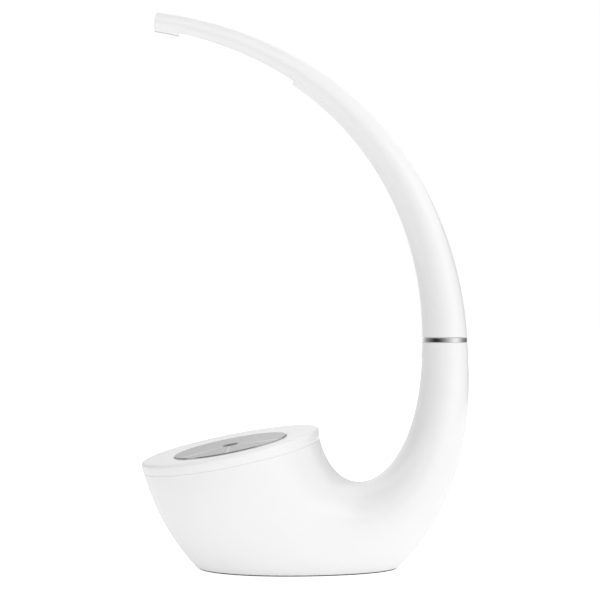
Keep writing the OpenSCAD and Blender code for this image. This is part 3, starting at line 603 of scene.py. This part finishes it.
def take_over(piece, body, slot, *nodes):
    """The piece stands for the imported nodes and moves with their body."""
    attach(piece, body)
    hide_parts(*nodes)


# %% [markdown]
# The outer edge runs from the neck's right side down the heel, along the belly and up to the bowl's left rim.
# The inner edge runs from the neck's left side down into the saddle and up to the bowl's right rim. The same
# tree makes the front half and the back half, and only the side changes.

# %% The two halves of the horn
HORN_GRID = {"Along": 241, "Round": 73}
rim = Vector((math.cos(MOUTH_TILT), 0, math.sin(MOUTH_TILT))) * MOUTH_R
rim_out, rim_in = MOUTH - rim, MOUTH + rim


def flat(x, z):
    """A point in the middle plane."""
    return (x, 0.0, z)


def leaned(point, length, lean):
    """The point this far below, on a line that leans to the right."""
    return flat(point.x + length * math.sin(lean), point.z - length * math.cos(lean))


horn_edges = {
    "Outer 0": flat(NECK_X + NECK_R, NECK_Z),
    "Outer 1": flat(NECK_X + NECK_R + HEEL_PUSH, NECK_Z - HEEL_DROP),
    "Outer 2": leaned(rim_out, BELLY_DROP, BELLY_LEAN),
    "Outer 3": flat(rim_out.x, rim_out.z),
    "Inner 0": flat(NECK_X - NECK_R, NECK_Z),
    "Inner 1": flat(NECK_X - NECK_R, NECK_Z - SADDLE_DROP),
    "Inner 2": leaned(rim_in, THROAT_DROP, THROAT_LEAN),
    "Inner 3": flat(rim_in.x, rim_in.z),
}
for side, title in ((-1.0, "front"), (1.0, "back")):
    skin = grown(f"horn_{title}", horn_tree, {
        **HORN_GRID, **horn_edges, "Side": side, "Finish": WHITE, "Foot share": FOOT_SHARE,
        "Foot height": FOOT_Z, "Taper height": rim_out.z - FOOT_Z, "Taper power": TAPER_POWER})
    half = moulding(f"horn_{title}", skin, BASE_WALL, foot=FOOT_Z)
    take_over(half, "base", "white_shell", f"base_shell_{title}")
    print(half.name, "faces:", len(half.data.polygons))

# %% [markdown]
# ## Arm
# The arm's sections stand square to its underside, and their width runs from the neck's over a slimmer waist
# to the tip's. The same grid idea works, with one more question: faces that lie where the opal strip goes are
# deleted in the tree, before the grid is bent.

# %% The arm's skin
arm_tree, arm = shape_tree("arm_skin", {
    **GRID, **{k: v for k, v in EDGES.items() if k.startswith("Inner")}, "Neck width": "Float",
    "Waist width": "Float", "Tip width": "Float", "From": "Float", "To": "Float", "Turn from": "Float",
    "Turn to": "Float", "Window from": "Float", "Window to": "Float", "Window turn": "Float",
    "Sunk": "Float"})
under = [parts(arm[f"Inner {i}"]) for i in range(4)]


def arm_place(along, around):
    share = arm["From"] + along * (arm["To"] - arm["From"])
    turn = arm["Turn from"] + around * (arm["Turn to"] - arm["Turn from"])
    x, z = (bezier([p[k] for p in under], share) for k in (0, 2))
    run_x, run_z = (bezier_slope([p[k] for p in under], share) for k in (0, 2))
    length = (run_x * run_x + run_z * run_z) ** 0.5
    rest = 1 - share
    width = rest ** 2 * arm["Neck width"] + 2 * rest * share * arm["Waist width"] \
        + share ** 2 * arm["Tip width"]
    radius = width / 2 - arm["Sunk"]
    lift = width / 2 + radius * cosine(turn)
    return vector(x + lift * run_z / length, arm["Side"] * radius * sine(turn), z - lift * run_x / length)


def in_window(along, around):
    turn = arm["Turn from"] + around * (arm["Turn to"] - arm["Turn from"])
    return (along > arm["Window from"]) * (along < arm["Window to"]) * (turn > arm["Window turn"])


bent_grid(Wire(arm_tree), arm, arm_place, gone=in_window)
print("nodes in the arm's tree:", len(arm_tree.nodes))

# %% [markdown]
# The arm's underside is one curve, from the neck's left side up to the tip. Its ends lie where the neck and
# the tip are, and its two pulls, straight up and along the tip's slope, give the bend.

# %% Places of the arm's underside
TIP_X, TIP_Z = NECK_X - ARM_REACH, ring_high.z + ARM_RISE
arm_shape = {
    "Inner 0": flat(NECK_X - NECK_R, ARM_Z),
    "Inner 1": flat(NECK_X - NECK_R, ARM_Z + ARM_LOW),
    "Inner 2": flat(TIP_X + ARM_HIGH * math.cos(TIP_SLOPE), TIP_Z - ARM_HIGH * math.sin(TIP_SLOPE)),
    "Inner 3": flat(TIP_X, TIP_Z),
    "Neck width": 2 * NECK_R, "Waist width": WAIST_D, "Tip width": TIP_D,
}
print(f"the arm's tip is {1000 * TIP_X:.0f} mm from the middle and {1000 * TIP_Z:.0f} mm above the table")

# %% [markdown]
# Between the strip and the tip a thin darker line runs along the underside. The finish draws it as a darker
# tone: the white is darker where a point lies close to the middle plane, beyond the strip's end and on
# the arm's underside.

# %% White with the darker line
LINE_HALF, LINE_GAP, LINE_TONE = 1.2 * MM, 0.2 * MM, grey(0.55)
line_end = bezier([arm_shape[f"Inner {i}"][0] for i in range(4)], LENS_TO) - LINE_GAP


def underlined_white(here, place):
    """The shell's white, with the darker line under the arm's end."""
    x, y, z = parts(place)
    line = (x < line_end) * (y * y < LINE_HALF ** 2) * (z < TIP_Z + TIP_D / 2)
    white = satin_white(here, place)
    return {**white, "Base Color": tone(here, white["Base Color"], LINE_TONE, line)}


ARM_WHITE = finish("white_satin_with_line", underlined_white, **LACQUER)
print(f"line {2000 * LINE_HALF:.1f} mm wide, from x {1000 * line_end:.0f} mm to the tip")

# %% [markdown]
# Both shells come from the arm's tree, with a window on the underside for the strip. The strip itself uses
# the same tree with no window, so the three values of the window are kept apart from the rest.

# %% The two halves of the arm
ARM_GRID = {"Along": 201, "Round": 91}
whole = {"From": 0.0, "To": 1.0, "Turn from": 0.0, "Turn to": math.pi, "Sunk": 0.0}
window = {"Window from": LENS_FROM, "Window to": LENS_TO, "Window turn": math.pi - LENS_HALF}
closed = {"Window from": 2.0, "Window to": 2.0, "Window turn": 0.0}
for side, title in ((-1.0, "front"), (1.0, "back")):
    skin = grown(f"arm_{title}", arm_tree, {**ARM_GRID, **arm_shape, **whole, **window, "Side": side,
                                            "Finish": ARM_WHITE})
    half = moulding(f"arm_{title}", skin, ARM_WALL, edge=0.2 * MM)
    take_over(half, "arm", "white_shell", f"arm_shell_{title}")
    print(half.name, "faces:", len(half.data.polygons))

# %% [markdown]
# The opal strip fills the window. It comes from the arm's own tree: a piece of the same skin, across the
# middle plane, a hair narrower and shorter than the window and sunk a little, so that a fine joint stays.

# %% Opal strip
LENS_GRID = {"Along": 61, "Round": 41}
LENS_GAP, LENS_WALL, LENS_SUNK = 0.15 * MM, 1.4 * MM, 0.05 * MM
LENS_END_GAP = 0.0004
gap_turn = LENS_GAP / (WAIST_D / 2)
opal_skin = grown("opal_strip", arm_tree, {
    **LENS_GRID, **arm_shape, **closed, "From": LENS_FROM + LENS_END_GAP, "To": LENS_TO - LENS_END_GAP,
    "Turn from": math.pi - LENS_HALF + gap_turn, "Turn to": math.pi + LENS_HALF - gap_turn,
    "Sunk": LENS_SUNK, "Side": 1.0, "Finish": OPAL})
opal = moulding("opal_strip", opal_skin, LENS_WALL, edge=0.12 * MM)
take_over(opal, "arm", "opal", "opal_cover")
print(opal.name, "faces:", len(opal.data.polygons))

# %% [markdown]
# ## Turned pieces
# The ring on the bowl, the dial, its cap, the bright ring and the arm's end are all round. Each is an outline
# turned about an axis. A short function places rings of points and closes the ends on the axis.

# %% Turning an outline about an axis
ON_AXIS = 1e-6 * MM


def turned(name, outline, middle, axis, material, steps=192, edge=0.0):
    """Turns (radius, height) points, in order from the inside up and over, about the axis."""
    aim = Vector((0, 0, 1)).rotation_difference(axis).to_matrix().to_4x4()
    place = Matrix.Translation(middle) @ aim
    work = bmesh.new()
    loops = []
    for radius, height in outline:
        if radius < ON_AXIS:
            loops.append([work.verts.new(place @ Vector((0, 0, height)))])
            continue
        angles = [2 * math.pi * i / steps for i in range(steps)]
        loops.append([work.verts.new(place @ Vector((radius * math.cos(a), radius * math.sin(a), height)))
                      for a in angles])
    pairs = list(zip(loops, loops[1:]))
    if min(radius for radius, _ in outline) > ON_AXIS:
        pairs.append((loops[-1], loops[0]))
    for one, two in pairs:
        for i in range(steps):
            corners = [one[i % len(one)], one[(i + 1) % len(one)],
                       two[(i + 1) % len(two)], two[i % len(two)]]
            corners = list(dict.fromkeys(corners))
            if len(corners) > 2:
                work.faces.new(corners)
    bmesh.ops.recalc_face_normals(work, faces=work.faces)
    mesh = bpy.data.meshes.new(name)
    work.to_mesh(mesh)
    work.free()
    mesh.materials.append(material)
    return finished(name, mesh, edge)


def arc(middle_r, middle_h, radius, start, end, steps):
    """Points of a round corner, angles in degrees."""
    angles = [math.radians(start + (end - start) * i / steps) for i in range(steps + 1)]
    return [(middle_r + radius * math.cos(a), middle_h + radius * math.sin(a)) for a in angles]


# %% [markdown]
# The ring closes the bowl. Its spigot sits inside the horn's mouth, its outside flares a little up to a round
# crest, and its top falls like a shallow dish to the hole for the dial.

# %% Ring on the bowl
FLARE, CREST_R, LOW_CHAMFER = 0.6 * MM, 2.2 * MM, 0.3 * MM
HOLE_R, HOLE_CHAMFER = DIAL_R + 0.3 * MM, 0.1 * MM
RING_WALL, LIP = 2.2 * MM, 2 * MM
SPIGOT_R, SPIGOT_H, SPIGOT_WALL = 60.2 * MM, 3 * MM, 2.4 * MM
top_outline = [(SPIGOT_R - SPIGOT_WALL, -SPIGOT_H), (SPIGOT_R, -SPIGOT_H), (SPIGOT_R, 0.0),
               (MOUTH_R - LOW_CHAMFER, 0.0), (MOUTH_R, LOW_CHAMFER)]
top_outline += arc(MOUTH_R + FLARE - CREST_R, CREST_H - CREST_R, CREST_R, 0, 90, 10)
top_outline += [(HOLE_R + HOLE_CHAMFER, DISH_H), (HOLE_R, DISH_H - HOLE_CHAMFER),
                (HOLE_R, DISH_H - LIP - RING_WALL), (HOLE_R + LIP, DISH_H - LIP - RING_WALL),
                (HOLE_R + LIP, DISH_H - RING_WALL), (SPIGOT_R - SPIGOT_WALL, CREST_H - RING_WALL)]
top_ring = turned("bowl_ring", top_outline, MOUTH, MOUTH_AXIS, WHITE)
take_over(top_ring, "base", "white_shell", "top_ring")
print(f"bowl ring {2000 * (MOUTH_R + FLARE):.1f} mm across, its hole {2000 * HOLE_R:.1f} mm")

# %% [markdown]
# The dial is a plain disc with a chamfered edge and a pocket in its middle, and the dark cap sits in the
# pocket. The dial's edge gets a very fine bevel, so that its chamfer stays a crisp, bright line.

# %% Dial and its cap
cap_low, cap_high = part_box("dial_cap")
CAP_R = (cap_high.y - cap_low.y) / 2
CAP_H, CAP_PROUD, CAP_ROUND = 0.9 * MM, 0.15 * MM, 0.2 * MM
POCKET_R = CAP_R + 0.05 * MM
seat = DIAL_TOP + CAP_PROUD - CAP_H
dial_outline = [(0.0, DIAL_TOP - DIAL_T), (DIAL_R, DIAL_TOP - DIAL_T), (DIAL_R, DIAL_TOP - DIAL_EDGE),
                (DIAL_R - DIAL_EDGE, DIAL_TOP), (POCKET_R, DIAL_TOP), (POCKET_R, seat), (0.0, seat)]
dial = turned("dial", dial_outline, MOUTH, MOUTH_AXIS, DIAL, edge=0.05 * MM)
take_over(dial, "dial", "dial_aluminium", "dial_disc")
cap_outline = [(0.0, seat), (CAP_R, seat)]
cap_outline += arc(CAP_R - CAP_ROUND, seat + CAP_H - CAP_ROUND, CAP_ROUND, 0, 90, 4)
cap_outline += [(0.0, seat + CAP_H)]
cap = turned("dial_cap_dark", cap_outline, MOUTH, MOUTH_AXIS, CAP, steps=96)
take_over(cap, "dial", "cap_dark", "dial_cap")
print(f"dial {2000 * DIAL_R:.1f} mm across, its cap {2000 * CAP_R:.1f} mm")

# %% [markdown]
# A polished ring marks the joint between neck and arm. Two chamfers and a fine groove break its side, and
# each of them mirrors another part of the room.

# %% Bright ring
RING_H = ring_high.z - ring_low.z
BUSH_R = 13.05 * MM
RING_CHAMFER, GROOVE = 0.3 * MM, 0.08 * MM
ring_outline = [(BUSH_R, 0.0), (NECK_R - RING_CHAMFER, 0.0), (NECK_R, RING_CHAMFER),
                (NECK_R, RING_H / 2 - GROOVE), (NECK_R - GROOVE, RING_H / 2), (NECK_R, RING_H / 2 + GROOVE),
                (NECK_R, RING_H - RING_CHAMFER), (NECK_R - RING_CHAMFER, RING_H), (BUSH_R, RING_H)]
bright = turned("bright_band", ring_outline, Vector((NECK_X, 0, NECK_Z)), Vector((0, 0, 1)), CHROME)
take_over(bright, "base", "ring_chrome", "bright_ring")
print(f"bright ring {1000 * RING_H:.1f} mm high")

# %% [markdown]
# The arm ends in a cap with a spigot that fits inside the shells. Its face is part of a large ball, whose
# radius follows from the cap's own radius and how far the face bulges.

# %% The arm's end
TIP_EDGE, TIP_BULGE, TIP_CHAMFER = 0.8 * MM, 1.2 * MM, 0.15 * MM
TIP_SPIGOT_H, TIP_SPIGOT_GAP = 4 * MM, 0.1 * MM
tip_r = TIP_D / 2
tip_spigot_r = tip_r - ARM_WALL - TIP_SPIGOT_GAP
ball = (tip_r ** 2 + TIP_BULGE ** 2) / (2 * TIP_BULGE)
bow = math.degrees(math.asin(tip_r / ball))
tip_way = Vector((-math.cos(TIP_SLOPE), 0, math.sin(TIP_SLOPE)))
tip_middle = Vector((TIP_X, 0, TIP_Z)) + tip_r * Vector((tip_way.z, 0, -tip_way.x))
tip_outline = [(0.0, -TIP_SPIGOT_H), (tip_spigot_r, -TIP_SPIGOT_H), (tip_spigot_r, 0.0),
               (tip_r - TIP_CHAMFER, 0.0), (tip_r, TIP_CHAMFER)]
tip_outline += arc(0.0, TIP_EDGE - ball + TIP_BULGE, ball, 90 - bow, 90, 8)
tip = turned("arm_end", tip_outline, tip_middle, tip_way, ARM_WHITE, steps=96)
take_over(tip, "arm", "white_shell", "tip_cap")
print(f"arm's end {1000 * TIP_D:.1f} mm across, its face part of a ball of {1000 * ball:.1f} mm")

# %% [markdown]
# ## Studio
# The photo looks as if it was taken in a tent of white cloth: soft light from everywhere, more from the
# front and the right, and much of it thrown up by the table. A world whose strength changes with direction
# gives that light with no hard edge. The camera, glass and mirrors see it as plain white. Only a round
# patch of its roof is grey to a mirror, so that the dial and the ring aren't white all over.

# %% World
# the strength all round, and what the right, the front and the sky above this height add to it
ALL_ROUND, FROM_RIGHT, FROM_FRONT, FROM_ABOVE, ABOVE = 0.43, 0.42, 0.39, 1.7, 0.6
# the grey patch: its direction, the cosine of half its angle, how soft its edge is, and its tone
ROOF_WAY, ROOF_EDGE, ROOF_BLUR, ROOF_GREY = Vector((-0.27, -0.11, 0.96)), 0.9, 0.15, 0.4
world = bpy.data.worlds.new("studio")
bpy.context.scene.world = world
world.use_nodes = True
here = Wire(world.node_tree)
backdrop = world.node_tree.nodes["Background"]
rays = here.node("ShaderNodeLightPath").socket.node.outputs
seen, mirrored, through = (Wire(world.node_tree, rays[f"Is {kind} Ray"])
                           for kind in ("Camera", "Glossy", "Transmission"))
way = here.node("ShaderNodeTexCoord", out="Generated")
to_right, to_back, up = parts(way)
tent = ALL_ROUND + FROM_RIGHT * within(to_right, 0, 1) + FROM_FRONT * within(0 - to_back, 0, 1) \
    + FROM_ABOVE * within(up - ABOVE, 0, 1)
roof = within((ROOF_EDGE - dot(here, way, ROOF_WAY)) / ROOF_BLUR, ROOF_GREY, 1)
plain = within(seen + through, 0, 1)
here.feed(backdrop, "Strength", plain + mirrored * roof + (1 - within(plain + mirrored, 0, 1)) * tent)
backdrop.inputs["Color"].default_value = grey(1.0)
bpy.context.scene.view_settings.view_transform = "Standard"
print("nodes in the world:", len(world.node_tree.nodes))

# %% [markdown]
# Bright metal shows its shape only where it has something dark to reflect. A low wall stands round the lamp,
# white with three darker openings, and only mirrors see it: it neither lights the lamp nor shows in the
# picture. Each opening is darkest in one direction and fades to the sides.

# %% Wall that only mirrors see
WALL_R, WALL_FROM, WALL_TO, WALL_STEPS = 1.2, 1 * MM, 0.7, 96
# each opening's direction in degrees to the right of the front, its tone in the middle, and how fast it fades
OPENINGS = ((-50, 0.03, 0.9), (-120, 0.62, 0.9), (122, 0.2, 1.6))
wall_mesh = bpy.data.meshes.new("wall")
around = [2 * math.pi * i / WALL_STEPS for i in range(WALL_STEPS)]
follows = [(i + 1) % WALL_STEPS for i in range(WALL_STEPS)]
wall_mesh.from_pydata(
    [(WALL_R * math.cos(a), WALL_R * math.sin(a), z) for z in (WALL_FROM, WALL_TO) for a in around], [],
    [(i, after, WALL_STEPS + after, WALL_STEPS + i) for i, after in enumerate(follows)])
wall = placed("wall", wall_mesh)
for kind in ("camera", "diffuse", "transmission", "shadow", "volume_scatter"):
    setattr(wall, f"visible_{kind}", False)
cloth = bpy.data.materials.new("wall_cloth")
cloth.use_nodes = True
here = Wire(cloth.node_tree)
cloth.node_tree.nodes.remove(cloth.node_tree.nodes["Principled BSDF"])
wall_place = here.node("ShaderNodeTexCoord", out="Object")


def away(azimuth):
    """0 on this side of the wall, in degrees to the right of the front, 1 square to it, 2 opposite."""
    turn = math.radians(azimuth)
    return 1 - dot(here, wall_place, (math.sin(turn), -math.cos(turn), 0)) / WALL_R


white = math.prod(within(middle + fade * away(azimuth), 0, 1) for azimuth, middle, fade in OPENINGS)
lit = here.node("ShaderNodeEmission", {"Color": tone(here, grey(0.0), grey(1.0), white)})
cloth.node_tree.links.new(lit.socket, cloth.node_tree.nodes["Material Output"].inputs[0])
wall_mesh.materials.append(cloth)
print("openings in the wall:", len(OPENINGS))

# %% [markdown]
# The table is a large sheet of white paper. It glows a little for all rays, which stands for the light that
# the tent's floor throws up, and more for the camera, which makes it white in the picture without lighting
# the lamp. From below it is clear, so that views from under the table show the lamp.

# %% Floor
FLOOR_LIGHT, FLOOR_SEEN, FLOOR_HALF, PAPER_TONE = 0.22, 0.6, 4.0, grey(0.92)
floor_mesh = bpy.data.meshes.new("floor")
floor_mesh.from_pydata([(x * FLOOR_HALF, y * FLOOR_HALF, 0) for x, y in ((-1, -1), (1, -1), (1, 1), (-1, 1))],
                       [], [(0, 1, 2, 3)])
floor = placed("floor", floor_mesh)
paper = bpy.data.materials.new("white_paper")
paper.use_nodes = True
shader = paper.node_tree.nodes["Principled BSDF"]
shader.inputs["Base Color"].default_value = PAPER_TONE
shader.inputs["Roughness"].default_value = 0.9
shader.inputs["Specular IOR Level"].default_value = 0.0
here = Wire(paper.node_tree)
rays = here.node("ShaderNodeLightPath").socket.node.outputs
seen = Wire(paper.node_tree, rays["Is Camera Ray"])
here.feed(shader, "Emission Strength", FLOOR_LIGHT + (FLOOR_SEEN - FLOOR_LIGHT) * seen)
shader.inputs["Emission Color"].default_value = grey(1.0)
below = here.node("ShaderNodeNewGeometry", out="Backfacing")
clear = here.node("ShaderNodeBsdfTransparent")
both = here.node("ShaderNodeMixShader", {0: below, 1: Wire(paper.node_tree, shader.outputs[0]), 2: clear})
paper.node_tree.links.new(both.socket, paper.node_tree.nodes["Material Output"].inputs[0])
floor_mesh.materials.append(paper)
print(f"paper {2 * FLOOR_HALF:.0f} m wide")

# %% [markdown]
# One large, weak soft box at the front right adds a faint direction to the even light of the tent.

# %% Soft box
BOX_PLACE, BOX_AIM = Vector((1.2, -0.9, 0.7)), Vector((0.02, 0, 0.16))
BOX_WIDTH, BOX_HEIGHT, BOX_WATTS = 1.0, 1.2, 2.2
soft_box = placed("right_box", bpy.data.lights.new("right_box", "AREA"))
soft_box.data.shape = "RECTANGLE"
soft_box.data.size, soft_box.data.size_y = BOX_WIDTH, BOX_HEIGHT
soft_box.data.energy = BOX_WATTS
soft_box.location = BOX_PLACE
soft_box.rotation_euler = (BOX_AIM - BOX_PLACE).to_track_quat("-Z", "Y").to_euler()
print(f"soft box {BOX_PLACE.length:.2f} m away, {BOX_WATTS:.1f} W")
